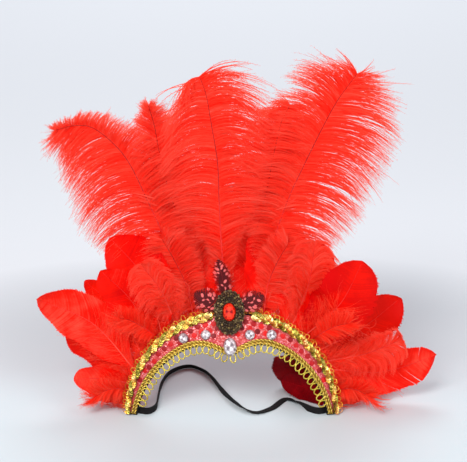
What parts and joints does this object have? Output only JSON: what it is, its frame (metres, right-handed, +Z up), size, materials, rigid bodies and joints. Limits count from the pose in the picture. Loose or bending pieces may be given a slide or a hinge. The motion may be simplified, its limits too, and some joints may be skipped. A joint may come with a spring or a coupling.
{
  "type": "feather headdress",
  "caption": "Carnival headdress: a stiff decorated band with braid, sequins, stones and a brooch, a fan of ostrich plumes, side feathers and an elastic strap.",
  "frame": {"origin": "on the ground, at the bottom centre of the whole headdress's bounding box", "axes": "+X to the right as seen from the front, +Y towards the back, +Z up; the band's two ends stand on z = 0"},
  "size_m": [0.4052, 0.1212, 0.3532],
  "materials": {
    "felt": "matt black felt",
    "cover_cloth": "glittery pink-red net over cloth with darker red dots",
    "gold_braid": "metallic gold yarn",
    "gold_sequin": "mirror-bright gold",
    "clear_stone": "clear, foil-backed and faceted",
    "red_stone": "deep red, foil-backed and faceted",
    "bronze_bead": "dark bronze beads with a dull lustre",
    "guinea_feather": "dark brown-red with pale spots",
    "ostrich_feather": "bright red, soft and loose",
    "goose_feather": "bright red, smooth with a slight sheen",
    "down": "bright red, fluffy",
    "elastic": "woven black elastic"
  },
  "bodies": {
    "root": {"band_base": "felt", "band_cover": "cover_cloth", "lower_gimp": "gold_braid", "upper_loops": "gold_braid", "sequin_braid_left": "gold_sequin", "sequin_braid_right": "gold_sequin", "stone_round_1": "clear_stone", "stone_round_2": "clear_stone", "stone_round_3": "clear_stone", "stone_round_4": "clear_stone", "stone_oval": "clear_stone", "brooch_frame": "bronze_bead", "brooch_stone": "red_stone", "guinea_left": "guinea_feather", "guinea_right": "guinea_feather", "guinea_top": "guinea_feather", "plume_centre": "ostrich_feather", "plume_left": "ostrich_feather", "plume_right": "ostrich_feather", "plume_mid_left": "ostrich_feather", "plume_mid_right": "ostrich_feather", "plume_short_left": "ostrich_feather", "plume_short_right": "ostrich_feather", "fluff_left_upper": "down", "fluff_left_lower": "down", "fluff_right_upper": "down", "fluff_right_lower": "down", "goose_left_top": "goose_feather", "goose_left_inner": "goose_feather", "goose_left_high": "goose_feather", "goose_left_back": "goose_feather", "goose_left_long": "goose_feather", "goose_left_low": "goose_feather", "goose_right_inner": "goose_feather", "goose_right_top": "goose_feather", "goose_right_high": "goose_feather", "goose_right_long": "goose_feather", "goose_left_foot": "goose_feather", "goose_left_rear": "goose_feather", "goose_right_foot": "goose_feather", "goose_right_side": "goose_feather", "goose_right_rear": "goose_feather", "strap": "elastic"}
  },
  "joints": []
}
